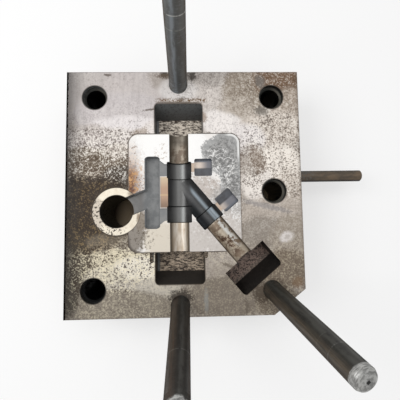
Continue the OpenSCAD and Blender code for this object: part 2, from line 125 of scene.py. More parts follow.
world = bpy.data.worlds.new("room")
bpy.context.scene.world = world
world.use_nodes = True
sky = world.node_tree.nodes["Background"]
sky.inputs["Color"].default_value = (1, 1, 1, 1)
strength = world.node_tree.nodes.new("ShaderNodeMix")
path = world.node_tree.nodes.new("ShaderNodeLightPath")
strength.inputs["A"].default_value = ROOM_LIGHT
strength.inputs["B"].default_value = 1.0
world.node_tree.links.new(path.outputs["Is Camera Ray"], strength.inputs["Factor"])
world.node_tree.links.new(strength.outputs["Result"], sky.inputs["Strength"])

floor_mesh = bpy.data.meshes.new("floor")
corners = [(x * FLOOR_SIZE / 2, y * FLOOR_SIZE / 2, 0) for x, y in ((-1, -1), (1, -1), (1, 1), (-1, 1))]
floor_mesh.from_pydata(corners, [], [(0, 1, 2, 3)])
floor = bpy.data.objects.new("floor", floor_mesh)
bpy.context.scene.collection.objects.link(floor)
floor_finish = bpy.data.materials.new("pale floor")
floor_finish.use_nodes = True
tree = floor_finish.node_tree
tree.nodes.clear()

# Under the block the floor is the dull, blotched brown seen through the bores; towards the left it is near
# black, painted shade
spot = tree.nodes.new("ShaderNodeSeparateXYZ")
tree.links.new(tree.nodes.new("ShaderNodeTexCoord").outputs["Object"], spot.inputs[0])
blotches = tree.nodes.new("ShaderNodeTexNoise")
blotches.inputs["Scale"].default_value = BLOTCH_SCALE
toward_right = tree.nodes.new("ShaderNodeMapRange")
toward_right.interpolation_type = "SMOOTHSTEP"
feed(tree, toward_right.inputs["Value"],
     calc(tree, "MULTIPLY_ADD", blotches.outputs[0], BLOTCH_SPREAD, spot.outputs[0]))
for limit, place in zip(("From Min", "From Max"), UNDER_FADE):
    toward_right.inputs[limit].default_value = place
under = blend(tree, toward_right.outputs[0], UNDER_PAINTED_SHADE + (1,), UNDER_BROWN + (1,))
open_floor = calc(tree, "MAXIMUM", *(
    calc(tree, "GREATER_THAN", calc(tree, "ABSOLUTE", spot.outputs[axis]), UNDER_HALF) for axis in (0, 1)))
matt = tree.nodes.new("ShaderNodeBsdfDiffuse")
feed(tree, matt.inputs["Color"], blend(tree, open_floor, under, (FLOOR_TONE, FLOOR_TONE, FLOOR_TONE, 1)))

# Seen directly, the open floor is half lit and half glowing, so it is white but keeps the shadow
backdrop = tree.nodes.new("ShaderNodeBsdfDiffuse")
backdrop.inputs["Color"].default_value = (1, 1, 1, 1)
lift = tree.nodes.new("ShaderNodeEmission")
lift.inputs["Color"].default_value = (1, 1, 1, 1)
half = tree.nodes.new("ShaderNodeMixShader")
choose = tree.nodes.new("ShaderNodeMixShader")
out = tree.nodes.new("ShaderNodeOutputMaterial")
for socket, value in (
        (half.inputs[0], 0.5), (half.inputs[1], backdrop.outputs[0]), (half.inputs[2], lift.outputs[0]),
        (choose.inputs[0], calc(tree, "MULTIPLY", seen_directly(tree), open_floor)),
        (choose.inputs[1], matt.outputs[0]), (choose.inputs[2], half.outputs[0]),
        (out.inputs["Surface"], choose.outputs[0])):
    feed(tree, socket, value)
floor.data.materials.append(floor_finish)
bpy.context.scene.view_settings.view_transform = "Standard"


# Die block: one milled and ground slab of steel, pale where it was wiped, speckled with rust
# from damp storage, burnt dark round the sleeve. As the first piece it also brings the class
# that mixes every finish from noise and soft areas, in the coordinates of the piece.
BLOCK_X, BLOCK_Y, BLOCK_Z = 0.480, 0.500, 0.140
CASTING = (-0.011, -0.002)
BRANCH = (-0.011, 0.019)
BRANCH_TURN = math.radians(-50)
INSERT_X, INSERT_Y, INSERT_CORNER = 0.227, 0.240, 0.020
SEAT_GAP = 0.0003
BUSH_PLACES = [(-0.1825, 0.195), (0.1825, 0.195), (0.1825, -0.002), (-0.1825, -0.195)]
BUSH_HOLE = 0.050
SLEEVE_PLACE = (-0.1375, -0.0395)
SLEEVE_END = 0.097
POCKETS = [(CASTING[0], 0.150, 0.099, 0.068), (CASTING[0], -0.154, 0.099, 0.064)]
POCKET_CORNER = 0.010
POCKET_WALLS_FROM = 0.032
CORE_SEAT_FLOOR = 0.1205
CORE_SEAT_HALF = 0.0196
CORE_SEAT_FROM, CORE_SEAT_TO = 0.1000, 0.1995


def linear(red, green, blue):
    """Colour given as the 0-255 values seen on a screen, as linear light."""
    shown = [value / 255 for value in (red, green, blue)]
    return tuple(v / 12.92 if v <= 0.04045 else ((v + 0.055) / 1.055) ** 2.4 for v in shown) + (1,)


class Finish:
    """One procedural material and the nodes it is mixed from."""

    def __init__(self, name, metal=0.3, shine=0.5):
        self.material = bpy.data.materials.new(name)
        self.material.use_nodes = True
        self.tree = self.material.node_tree
        self.surface = self.tree.nodes["Principled BSDF"]
        self.surface.inputs["Metallic"].default_value = metal
        self.surface.inputs["Specular IOR Level"].default_value = shine
        self.place = self.add("ShaderNodeTexCoord").outputs["Object"]
        self.x, self.y, self.z = self.parts(self.place)
        self.lean_x, self.lean_y, self.up = self.parts(self.add("ShaderNodeNewGeometry").outputs["Normal"])

    def add(self, kind, **settings):
        node = self.tree.nodes.new(kind)
        for key, value in settings.items():
            setattr(node, key, value)
        return node

    def feed(self, socket, value):
        feed(self.tree, socket, value)

    def put(self, entry, value):
        """Feeds one entry of the surface, such as its roughness."""
        self.feed(self.surface.inputs[entry], value)

    def parts(self, vector):
        node = self.add("ShaderNodeSeparateXYZ")
        self.feed(node.inputs[0], vector)
        return node.outputs

    def calc(self, operation, *values):
        return calc(self.tree, operation, *values)

    def both(self, *shares):
        """Product of several shares."""
        total = shares[0]
        for share in shares[1:]:
            total = self.calc("MULTIPLY", total, share)
        return total

    def either(self, *shares):
        """The largest of several shares."""
        total = shares[0]
        for share in shares[1:]:
            total = self.calc("MAXIMUM", total, share)
        return total

    def fade(self, value, zero_at, one_at):
        """Smooth step of a value, 0 at one limit and 1 at the other."""
        node = self.add("ShaderNodeMapRange", interpolation_type="SMOOTHSTEP")
        for socket, entry in zip(node.inputs, (value, zero_at, one_at, 0.0, 1.0)):
            self.feed(socket, entry)
        return node.outputs[0]

    def near(self, value, place, zero_at, one_at):
        """Smooth step of the distance of a value from a place."""
        return self.fade(self.calc("ABSOLUTE", self.calc("SUBTRACT", value, place)), zero_at, one_at)

    def between(self, value, low, high, soft):
        """1 where the value lies between two limits."""
        return self.both(self.fade(value, low - soft, low + soft), self.fade(value, high + soft, high - soft))

    def turned(self, place=(0, 0, 0), turn=(0, 0, 0), size=(1, 1, 1)):
        """The coordinates seen from a place, turned and measured in its own sizes."""
        node = self.add("ShaderNodeMapping", vector_type="TEXTURE")
        self.feed(node.inputs["Vector"], self.place)
        for key, value in (("Location", place), ("Rotation", turn), ("Scale", size)):
            node.inputs[key].default_value = value
        return node.outputs[0]

    def noise(self, size, detail=3.0, roughness=0.55, stretch=(1, 1, 1), shift=0.0, place=None):
        """Fractal noise, 0 to 1, with grains of about the given size."""
        scaled = self.add("ShaderNodeMapping")
        self.feed(scaled.inputs["Vector"], place or self.place)
        scaled.inputs["Scale"].default_value = [1 / size / s for s in stretch]
        scaled.inputs["Location"].default_value = (shift, shift * 0.7, shift * 1.3)
        node = self.add("ShaderNodeTexNoise")
        self.feed(node.inputs["Vector"], scaled.outputs[0])
        for key, value in (("Scale", 1.0), ("Detail", detail), ("Roughness", roughness)):
            node.inputs[key].default_value = value
        return node.outputs[0]

    def mix(self, share, below, above):
        """Blend of two colours."""
        entries = [linear(*entry) if isinstance(entry, tuple) else entry for entry in (below, above)]
        return blend(self.tree, share, *entries)

    def level(self, share, below, above):
        """Blend of two numbers."""
        node = self.add("ShaderNodeMix", data_type="FLOAT")
        for index, entry in ((0, share), (2, below), (3, above)):
            self.feed(node.inputs[index], entry)
        return node.outputs[0]

    def patch(self, x, y, wide, high, turn=0, ragged=None, amount=0.5, edge=0.35):
        """Soft oval area round a point, its rim broken up by a noise."""
        oval = self.turned((x, y, 0), (0, 0, math.radians(turn)), (wide, high, 100))
        reach = self.add("ShaderNodeTexGradient", gradient_type="SPHERICAL")
        self.feed(reach.inputs[0], oval)
        inside = reach.outputs["Fac"]
        if ragged is None:
            return self.fade(inside, 0.02, 0.02 + edge)
        value = self.calc("MULTIPLY_ADD", self.calc("SUBTRACT", ragged, 0.5), amount * 2, inside)
        return self.both(self.fade(value, 0.02, 0.02 + edge), self.fade(inside, 0.0, 0.2))

    def outline(self, x, y, wide, high, corner):
        """Distance outside a rounded rectangle, negative inside it near its rim."""
        value = self.turned((x, y, 0), size=(1, 1, 1e6))
        for operation, entry in (("ABSOLUTE", None), ("SUBTRACT", (wide / 2 - corner, high / 2 - corner, 1)),
                                 ("MAXIMUM", (0, 0, 0)), ("LENGTH", None)):
            node = self.add("ShaderNodeVectorMath", operation=operation)
            self.feed(node.inputs[0], value)
            if entry:
                node.inputs[1].default_value = entry
            value = node.outputs["Value" if operation == "LENGTH" else "Vector"]
        return self.calc("SUBTRACT", value, corner)

    def areas(self, start, entries, ragged, amount=0.5, edge=0.35, within=()):
        """Lays areas (x, y, half width, half height, turn, share, colour or level) over a start, each
        cut down further by the shares in within."""
        value = start
        for x, y, wide, high, turn, share, goal in entries:
            mask = self.both(self.patch(x, y, wide, high, turn, ragged, amount, edge), share, *within)
            value = (self.mix if isinstance(goal, tuple) else self.level)(mask, value, goal)
        return value

    def bump(self, height, distance, strength=1.0):
        node = self.add("ShaderNodeBump")
        self.feed(node.inputs["Height"], height)
        node.inputs["Distance"].default_value = distance
        self.feed(node.inputs["Strength"], strength)
        self.put("Normal", node.outputs[0])

    def wear(self, *nodes):
        """Puts the finish on CAD nodes or new pieces."""
        for node in nodes:
            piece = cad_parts[node] if isinstance(node, str) else node
            if not piece.material_slots:
                piece.data.materials.append(self.material)
            for entry in piece.material_slots:
                entry.material = self.material


block = Finish("ground die steel", metal=0.25, shine=0.4)
ragged = block.noise(0.030, 4, 0.6)
grains = block.noise(0.0080, 5, 0.80, shift=3.1)
grit = block.noise(0.0030, 2, 0.6, shift=7.7)
cloud = block.noise(0.075, 3, 0.55, shift=1.7)
brushed = block.noise(0.0070, 3, 0.6, (1, 9, 1), shift=2.0)
speckle = block.calc("MULTIPLY_ADD", grit, 0.48, block.calc("MULTIPLY", grains, 0.52))
broken = block.calc("MULTIPLY_ADD", speckle, 0.6, block.calc("MULTIPLY", ragged, 0.4))

# Middle tone of the ground face, along the top, down the left and then down the right:
# nearly white where it was wiped, brown at the upper right, burnt dark round the sleeve
face = block.areas((168, 158, 148), [
    (-0.165, 0.222, 0.130, 0.070, 0, 1.0, (192, 185, 181)),
    (-0.095, 0.210, 0.080, 0.080, 0, 0.9, (200, 192, 189)),
    (-0.035, 0.238, 0.050, 0.034, 0, 0.8, (170, 160, 152)),
    (0.055, 0.200, 0.060, 0.060, 0, 0.9, (208, 200, 194)),
    (-0.010, 0.212, 0.050, 0.034, 0, 0.9, (222, 217, 214)),
    (0.065, 0.240, 0.090, 0.026, 0, 0.9, (168, 160, 154)),
    (0.130, 0.210, 0.060, 0.070, 0, 0.9, (154, 141, 126)),
    (0.214, 0.230, 0.085, 0.054, 0, 1.0, (118, 92, 70)),
    (0.225, 0.166, 0.060, 0.060, 0, 0.8, (184, 170, 156)),
    (-0.130, 0.160, 0.135, 0.056, 0, 1.0, (200, 193, 192)),
    (-0.115, 0.130, 0.095, 0.034, 0, 0.9, (230, 224, 223)),
    (-0.055, 0.122, 0.040, 0.030, 0, 0.7, (228, 220, 214)),
    (0.110, 0.165, 0.050, 0.040, 0, 0.8, (182, 171, 159)),
    (0.082, 0.132, 0.062, 0.040, -20, 1.0, (236, 230, 226)),
    (0.185, 0.128, 0.085, 0.050, 0, 0.9, (212, 201, 190)),
    (0.130, 0.106, 0.048, 0.040, 0, 0.9, (228, 222, 220)),
    (-0.190, 0.108, 0.080, 0.038, 0, 1.0, (192, 183, 178)),
    (-0.125, 0.100, 0.055, 0.040, 0, 0.8, (216, 208, 202)),
    (-0.135, 0.075, 0.055, 0.030, 0, 0.9, (200, 190, 180)),
    (-0.205, 0.066, 0.070, 0.034, 0, 0.9, (138, 126, 112)),
    (-0.180, 0.048, 0.105, 0.034, 0, 0.9, (118, 104, 88)),
    (-0.125, 0.030, 0.050, 0.030, 0, 0.9, (72, 63, 54)),
    (-0.185, -0.006, 0.135, 0.050, 0, 1.0, (38, 25, 10)),
    (-0.185, -0.060, 0.130, 0.058, 0, 1.0, (37, 24, 10)),
    (-0.205, -0.104, 0.070, 0.034, 0, 0.9, (52, 42, 31)),
    (-0.150, -0.104, 0.065, 0.026, 0, 0.9, (112, 102, 87)),
    (-0.130, -0.148, 0.115, 0.040, 0, 1.0, (210, 200, 176)),
    (-0.225, -0.145, 0.048, 0.080, 0, 0.9, (64, 55, 42)),
    (-0.092, -0.165, 0.070, 0.046, 0, 0.9, (240, 233, 219)),
    (-0.160, -0.172, 0.050, 0.030, 0, 0.8, (206, 198, 180)),
    (-0.075, -0.200, 0.130, 0.034, 0, 0.9, (188, 181, 169)),
    (-0.140, -0.226, 0.150, 0.040, 0, 1.0, (142, 133, 120)),
    (-0.045, -0.236, 0.070, 0.026, 0, 0.9, (140, 131, 118)),
    (-0.232, -0.190, 0.030, 0.060, 0, 0.9, (70, 62, 50)),
    (0.195, 0.048, 0.070, 0.058, 0, 1.0, (240, 231, 221)),
    (0.148, 0.012, 0.044, 0.046, 0, 0.9, (236, 228, 221)),
    (0.140, 0.062, 0.034, 0.046, 0, 0.8, (166, 156, 147)),
    (0.215, 0.000, 0.050, 0.050, 0, 0.8, (198, 186, 174)),
    (0.185, -0.050, 0.100, 0.044, 0, 1.0, (184, 173, 162)),
    (0.165, -0.088, 0.080, 0.044, 0, 0.9, (150, 141, 131)),
    (0.215, -0.100, 0.055, 0.060, 0, 0.9, (166, 155, 142)),
    (0.195, -0.160, 0.070, 0.050, 0, 0.9, (124, 110, 94)),
    (0.085, -0.135, 0.050, 0.040, 0, 1.0, (180, 170, 159)),
    (0.080, -0.165, 0.040, 0.030, 0, 0.8, (160, 150, 139)),
    (0.085, -0.212, 0.120, 0.052, 0, 1.0, (130, 120, 108)),
    (0.190, -0.228, 0.060, 0.036, 0, 0.8, (116, 104, 89)),
], broken, 0.55)

# How far the grains differ from that tone: cream and dark rust on pale steel
contrast = block.areas(0.32, [
    (-0.130, 0.200, 0.160, 0.075, 0, 1.0, 0.10),
    (-0.120, 0.145, 0.120, 0.045, 0, 0.9, 0.20),
    (0.060, 0.155, 0.085, 0.075, 0, 0.9, 0.26),
    (0.200, 0.195, 0.110, 0.080, 0, 0.9, 0.47),
    (-0.170, 0.105, 0.110, 0.034, 0, 1.0, 0.75),
    (-0.165, 0.072, 0.110, 0.036, 0, 1.0, 0.84),
    (-0.180, 0.046, 0.115, 0.036, 0, 1.0, 0.80),
    (-0.185, -0.028, 0.120, 0.076, 0, 1.0, 0.38),
    (-0.185, -0.100, 0.110, 0.036, 0, 0.9, 0.52),
    (-0.135, -0.142, 0.120, 0.046, 0, 1.0, 0.95),
    (-0.150, -0.180, 0.110, 0.036, 0, 0.8, 0.87),
    (-0.140, -0.228, 0.150, 0.036, 0, 1.0, 0.38),
    (-0.050, -0.205, 0.070, 0.040, 0, 0.9, 0.26),
    (0.200, 0.100, 0.100, 0.075, 0, 1.0, 0.76),
    (0.195, 0.030, 0.095, 0.066, 0, 0.9, 0.78),
    (0.180, -0.070, 0.110, 0.070, 0, 1.0, 0.20),
    (0.205, -0.145, 0.080, 0.075, 0, 0.9, 0.33),
    (0.085, -0.200, 0.110, 0.075, 0, 1.0, 0.18),
], broken, 0.55)
rust = block.fade(speckle, 0.505, 0.575)
glint = block.fade(speckle, 0.492, 0.425)
burnt = block.patch(-0.198, -0.042, 0.135, 0.098, 0, broken, 0.4)
face = block.mix(block.both(rust, contrast), face, (72, 58, 44))
cream = block.mix(block.fade(block.y, -0.070, -0.130), (246, 241, 232), (234, 223, 194))
face = block.mix(block.both(glint, contrast, 0.85), face, block.mix(burnt, cream, (170, 143, 98)))
face = block.mix(block.both(block.fade(brushed, 0.45, 0.66), 0.12), face, (96, 88, 82))
sparse = block.both(block.fade(speckle, 0.575, 0.62), block.fade(cloud, 0.46, 0.60))
face = block.mix(block.calc("MULTIPLY", sparse, 0.40), face, (104, 88, 74))
dirty = block.calc("MULTIPLY", rust, contrast)

# Single marks: the wiped oval, stains round the pins and bushes, the streak at the lower edge
face = block.areas(face, [
    (0.205, -0.0955, 0.020, 0.014, 20, 0.9, (228, 222, 219)),
    (0.206, -0.0960, 0.010, 0.0065, 20, 0.7, (182, 174, 166)),
    (0.041, 0.153, 0.010, 0.014, 0, 0.6, (128, 102, 78)),
    (0.160, 0.228, 0.014, 0.022, 15, 0.8, (116, 110, 104)),
    (0.162, 0.165, 0.022, 0.014, -10, 0.8, (110, 104, 96)),
    (0.150, 0.064, 0.022, 0.040, 15, 0.5, (140, 122, 106)),
    (0.165, -0.033, 0.075, 0.008, -14, 0.55, (134, 131, 133)),
    (0.040, -0.220, 0.006, 0.034, 0, 0.5, (150, 153, 151)),
    (0.120, -0.232, 0.005, 0.020, 0, 0.6, (96, 86, 76)),
    (0.224, -0.186, 0.016, 0.016, 0, 0.6, (128, 102, 76)),
    (0.085, -0.150, 0.022, 0.004, -20, 0.7, (110, 99, 86)),
    (0.152, -0.205, 0.026, 0.028, 0, 0.85, (74, 62, 50)),
    (0.186, -0.190, 0.028, 0.014, -30, 0.6, (86, 74, 62)),
    (-0.011, -0.209, 0.034, 0.018, 0, 0.9, (58, 50, 42)),
    (-0.040, 0.243, 0.012, 0.012, 0, 0.9, (60, 52, 44)),
    (0.018, 0.240, 0.012, 0.016, 0, 0.9, (66, 58, 50)),
    (-0.006, 0.190, 0.014, 0.008, 30, 0.7, (84, 72, 60)),
    (-0.040, 0.240, 0.026, 0.008, 0, 0.7, (98, 82, 66)),
    (-0.156, 0.243, 0.010, 0.004, 0, 0.8, (84, 70, 58)),
    (-0.090, 0.122, 0.022, 0.012, 20, 0.5, (132, 108, 80)),
    (-0.068, 0.108, 0.016, 0.008, 30, 0.6, (116, 92, 66)),
    (-0.070, 0.169, 0.018, 0.0028, 8, 0.8, (86, 74, 64)),
    (-0.112, 0.036, 0.012, 0.030, 0, 0.4, (62, 58, 55)),
], speckle, 1.1, 0.6)

# Brown rust spots along the upper pocket
spots = block.both(block.between(block.x, -0.058, 0.046, 0.004), block.between(block.y, 0.185, 0.1925, 0.003),
                   block.fade(grit, 0.40, 0.58))
face = block.mix(spots, face, (106, 82, 56))

# Lines of dirt where the insert, the sleeve and the bushes meet the face
seam = block.outline(0, CASTING[1], INSERT_X + 2 * SEAT_GAP, INSERT_Y + 2 * SEAT_GAP,
                     INSERT_CORNER + SEAT_GAP)
right_seam = block.level(block.fade(block.y, 0.03, 0.09), 0.45, 0.8)
seam_share = block.level(block.fade(block.x, 0.095, 0.112), 0.85, right_seam)
near_seam = block.both(block.fade(seam, 0.007, 0.0005), block.fade(speckle, 0.46, 0.58), seam_share)
face = block.mix(block.calc("MULTIPLY", near_seam, 0.7), face, (96, 80, 64))
face = block.mix(block.both(block.fade(seam, 0.0018, 0.0004), seam_share), face, (78, 68, 58))
for x, y in BUSH_PLACES:
    rim = block.outline(x, y, BUSH_HOLE, BUSH_HOLE, BUSH_HOLE / 2)
    face = block.mix(block.calc("MULTIPLY", block.fade(rim, 0.0024, 0.0004), 0.85), face, (66, 60, 54))
sleeve_rim = block.outline(*SLEEVE_PLACE, SLEEVE_END, SLEEVE_END, SLEEVE_END / 2)
face = block.mix(block.calc("MULTIPLY", block.fade(sleeve_rim, 0.0040, 0.0004), 0.75), face, (66, 56, 44))
for x, y, wide, high in POCKETS:
    rim = block.outline(x, y, wide, high, POCKET_CORNER)
    face = block.mix(block.calc("MULTIPLY", block.fade(rim, 0.0022, 0.0003), 0.75), face, (80, 68, 56))

# Edges: burnt dark towards the left; a thin brown line at the right and at both ends, painted shade on the
# chamfers
toward_left = block.calc("POWER", block.fade(block.x, -0.180, -0.246), 1.6)
face = block.mix(block.calc("MULTIPLY", toward_left, 0.80), face, (12, 9, 7))
right_end, upper_end = BLOCK_X / 2, BLOCK_Y / 2
# Brown lines at the right and at both ends: painted shade on the chamfers
for value, start, end, amount in ((block.x, right_end - 0.0100, right_end - 0.0005, 0.38),
                                  (block.y, upper_end - 0.0030, upper_end - 0.0008, 0.6),
                                  (block.y, 0.0028 - upper_end, 0.0005 - upper_end, 0.4)):
    face = block.mix(block.calc("MULTIPLY", block.fade(value, start, end), amount), face, (86, 72, 60))

# Pocket floors: streaks of cream and brown along X, speckled in the branch pocket
streaks = block.noise(0.0050, 4, 0.72, (1.7, 0.62, 1), shift=5.0)
floor_tone = block.mix(block.fade(streaks, 0.42, 0.58), (62, 50, 41), (222, 211, 196))
lower_tone = block.mix(block.fade(streaks, 0.42, 0.60), (60, 50, 42), (196, 178, 156))
floor_tone = block.mix(block.fade(block.y, 0.0, -0.05), floor_tone, lower_tone)
branch_s, branch_w, _ = block.parts(block.turned((BRANCH[0], BRANCH[1], 0), (0, 0, BRANCH_TURN)))
branch_tone = block.mix(block.fade(speckle, 0.57, 0.44), (48, 38, 34), (134, 114, 103))
branch_tone = block.mix(block.both(block.fade(branch_s, 0.230, 0.236), 0.3), branch_tone, (118, 108, 98))
floor_tone = block.mix(block.fade(block.x, 0.06, 0.07), floor_tone, branch_tone)
# A grey band on the floor along the foot of the left wall: painted shade
floor_tone = block.mix(block.both(block.fade(block.x, -0.0540, -0.0570), block.fade(block.x, -0.070, -0.062)),
                       floor_tone, (100, 101, 102))

# Walls of the pockets: the upper locking face is rubbed smooth, the others are nearly black
wall_tone = block.mix(block.fade(block.y, -0.01, 0.01), (54, 51, 48), block.mix(
    block.fade(block.z, 0.094, 0.136), (98, 98, 97), (116, 118, 118)))
branch_wedge = block.both(block.fade(block.x, 0.06, 0.07), block.fade(block.z, 0.088, 0.094))
wall_tone = block.mix(branch_wedge, wall_tone, (34, 31, 29))
wall_tone = block.mix(block.both(block.fade(speckle, 0.50, 0.60), 0.5), wall_tone, (56, 50, 46))
side_tone = block.mix(block.fade(ragged, 0.35, 0.65), (140, 129, 117), (104, 90, 76))
drips = block.noise(0.016, 5, 0.65, (1, 1, 5), shift=8.8)
side_tone = block.mix(block.both(block.fade(drips, 0.50, 0.62), 0.6), side_tone, (84, 66, 50))
side_tone = block.mix(block.both(rust, 0.45), side_tone, (76, 58, 42))
side_tone = block.mix(block.both(glint, 0.35), side_tone, (190, 181, 169))
worn_edge = block.both(block.fade(block.z, BLOCK_Z - 0.010, BLOCK_Z - 0.001), block.fade(speckle, 0.60, 0.44))
side_tone = block.mix(block.calc("MULTIPLY", worn_edge, 0.6), side_tone, (178, 168, 156))
inside = block.both(block.fade(block.calc("ABSOLUTE", block.x), right_end - 0.004, right_end - 0.006),
                    block.fade(block.calc("ABSOLUTE", block.y), upper_end - 0.004, upper_end - 0.006),
                    block.fade(block.z, POCKET_WALLS_FROM - 0.001, POCKET_WALLS_FROM + 0.001))
wall_tone = block.mix(inside, side_tone, wall_tone)
seat = block.both(block.fade(block.z, CORE_SEAT_FLOOR - 0.001, CORE_SEAT_FLOOR + 0.001),
                  block.between(branch_w, -CORE_SEAT_HALF, CORE_SEAT_HALF, 0.0004),
                  block.between(branch_s, CORE_SEAT_FROM, CORE_SEAT_TO, 0.0006))


def branch_seat_tone(finish, s, w, stained):
    """Seat of the branch core: ivory, a painted highlight along one side, brown pits along the other and
    painted shade at both edges.
    """
    tone = finish.mix(finish.fade(stained, 0.40, 0.60), (186, 174, 156), (140, 122, 104))
    # White band along one side: painted highlight
    seat_highlight = finish.both(finish.between(w, 0.006, 0.0145, 0.003), finish.fade(stained, 0.60, 0.50))
    tone = finish.mix(finish.both(seat_highlight, finish.fade(s, 0.186, 0.160)), tone, (240, 240, 236))
    pits = finish.both(finish.between(w, -0.013, 0.006, 0.003), finish.fade(stained, 0.50, 0.56),
                       finish.between(s, 0.126, 0.186, 0.008))
    tone = finish.mix(pits, tone, (84, 62, 46))
    # Both edges of the groove darker: painted shade
    return finish.mix(finish.fade(finish.calc("ABSOLUTE", w), 0.0140, 0.0190), tone, (88, 80, 70))


seat_tone = branch_seat_tone(block, branch_s, branch_w, block.noise(0.013, 5, 0.65, shift=6.2))

body = block.mix(block.both(block.fade(block.up, 0.80, 0.92), inside), wall_tone, floor_tone)
body = block.mix(seat, body, seat_tone)
body = block.mix(block.fade(block.up, -0.8, -0.95), body, side_tone)
skin = block.mix(block.fade(block.z, BLOCK_Z - 0.0022, BLOCK_Z - 0.0004), body, face)
# The left chamfer: near black, painted shade, and without reflection
rim_edge = block.calc("MULTIPLY_ADD", block.calc("SUBTRACT", speckle, 0.5), 0.012, block.x)
left_chamfer_shade = block.both(block.fade(rim_edge, 0.0050 - right_end, 0.0034 - right_end),
                      block.fade(block.z, BLOCK_Z - 0.0032, BLOCK_Z - 0.0014))
skin = block.mix(left_chamfer_shade, skin, (6, 5, 4))
block.put("Base Color", skin)
block.put("Specular IOR Level", block.level(left_chamfer_shade, 0.4, 0.0))
block.put("Metallic", block.level(left_chamfer_shade, 0.25, 0.0))
block.put("Roughness", block.calc(
    "MULTIPLY_ADD", dirty, 0.22, block.level(block.fade(ragged, 0.3, 0.7), 0.42, 0.56)))
block.bump(block.calc("MULTIPLY_ADD", speckle, -3.0, brushed), 0.00022,
           block.calc("MULTIPLY_ADD", contrast, 0.7, 0.15))
block.wear("cover_die_block")


# Cavity insert: hardened steel, polished almost white on its face, with the black, oiled
# impression of the Y fitting, grey runner and wells, and ivory seats for the three cores.
TUBE_HALF = 0.0253
MAIN_COLLAR, MAIN_END = 0.0280, 0.0620
BRANCH_COLLAR, BRANCH_END = 0.0795, 0.1085
MAIN_SEAT_HALF, BRANCH_SEAT_HALF = 0.0198, 0.0193
RUNNER_RIGHT = -0.0355
GATE_FLOOR = BLOCK_Z - 0.0040
LAND_X, LAND_Y = (-0.0497, -0.0300), (-0.0335, 0.0295)
WELL_RAMP, WELL_END = (0.0880, 0.0925), (0.1015, 0.1045)
SHARP = 0.0002

insert = Finish("hardened insert steel", metal=0.2, shine=0.45)
ragged = insert.noise(0.020, 5, 0.65, shift=4.4)
fine = insert.noise(0.0060, 5, 0.78, shift=9.1)
web = insert.noise(0.024, 6, 0.75, shift=2.6)
stained = insert.noise(0.013, 5, 0.65, shift=6.2)
along = insert.turned((BRANCH[0], BRANCH[1], 0), (0, 0, BRANCH_TURN))
branch_s, branch_w, _ = insert.parts(along)
main_w = insert.calc("SUBTRACT", insert.x, CASTING[0])
main_s = insert.calc("ABSOLUTE", insert.calc("SUBTRACT", insert.y, CASTING[1]))
low = insert.fade(insert.z, BLOCK_Z - 0.0001, BLOCK_Z - 0.0004)
in_main = insert.both(insert.between(main_w, -TUBE_HALF, TUBE_HALF, SHARP),
                      insert.fade(main_s, MAIN_END + 0.0003, MAIN_END))
in_branch = insert.both(insert.between(branch_w, -TUBE_HALF, TUBE_HALF, SHARP),
                        insert.fade(branch_s, 0.010, 0.012),
                        insert.fade(branch_s, BRANCH_END + SHARP, BRANCH_END))
tube = insert.both(low, insert.either(in_main, in_branch))
main_seat = insert.both(low, insert.between(main_w, -MAIN_SEAT_HALF, MAIN_SEAT_HALF, SHARP),
                        insert.fade(main_s, MAIN_END - SHARP, MAIN_END + SHARP))
branch_seat = insert.both(low, insert.between(branch_w, -BRANCH_SEAT_HALF, BRANCH_SEAT_HALF, SHARP),
                          insert.fade(branch_s, BRANCH_END - SHARP, BRANCH_END + SHARP))
runner = insert.both(low, insert.fade(insert.x, RUNNER_RIGHT, RUNNER_RIGHT - 0.0007))

# Face: white, with grey brown corners; a cauliflower shaped cloud of dark etched steel at
# the right with a web of bare lines, and rust along the left edge down to the sleeve
tone = insert.areas((238, 234, 230), [
    (-0.045, 0.090, 0.080, 0.050, 0, 0.9, (250, 249, 247)),
    (0.022, 0.088, 0.036, 0.045, 0, 0.9, (250, 249, 247)),
    (0.050, 0.008, 0.050, 0.026, -35, 1.0, (196, 187, 180)),
    (0.092, -0.022, 0.050, 0.044, 0, 0.9, (178, 174, 170)),
    (0.085, -0.090, 0.075, 0.056, 0, 1.0, (203, 196, 190)),
    (0.020, -0.095, 0.040, 0.045, 0, 0.9, (204, 197, 191)),
    (-0.048, -0.095, 0.050, 0.045, 0, 1.0, (220, 211, 196)),
    (-0.106, -0.082, 0.036, 0.064, -10, 0.9, (126, 117, 106)),
    (-0.086, -0.060, 0.018, 0.026, 0, 0.7, (140, 128, 114)),
], fine, 0.6)
etched = insert.either(insert.patch(0.080, 0.070, 0.072, 0.080, 0, edge=0.95),
                       insert.patch(0.094, 0.020, 0.042, 0.076, 10, edge=0.95))
lobes = insert.calc("MULTIPLY_ADD", insert.calc("SUBTRACT", web, 0.5), 1.3, etched)
cloud = insert.fade(lobes, 0.30, 0.36)
cloud_tone = insert.mix(insert.fade(fine, 0.40, 0.60), (164, 163, 161), (112, 111, 110))
cloud_tone = insert.mix(insert.both(insert.fade(lobes, 0.75, 0.45), 0.6), cloud_tone, (176, 176, 175))
tone = insert.mix(cloud, tone, cloud_tone)
veins = insert.noise(0.017, 3, 0.6, shift=5.9)
veil = insert.both(insert.either(insert.patch(0.066, 0.046, 0.050, 0.052, 0, ragged, 0.3),
                                 insert.patch(0.096, -0.044, 0.030, 0.036, 0, ragged, 0.3)),
                   insert.fade(insert.calc("ABSOLUTE", insert.calc("SUBTRACT", veins, 0.5)), 0.030, 0.008))
tone = insert.mix(insert.calc("MULTIPLY", veil, 0.85), tone, (236, 235, 233))
rust_edge = insert.calc("MULTIPLY_ADD", insert.calc("SUBTRACT", fine, 0.5), 0.090, insert.x)
rusty = insert.both(insert.fade(rust_edge, -0.076, -0.106), insert.between(insert.y, -0.018, 0.092, 0.022),
                    insert.level(insert.fade(insert.y, 0.070, 0.034), 0.35, 1.0))
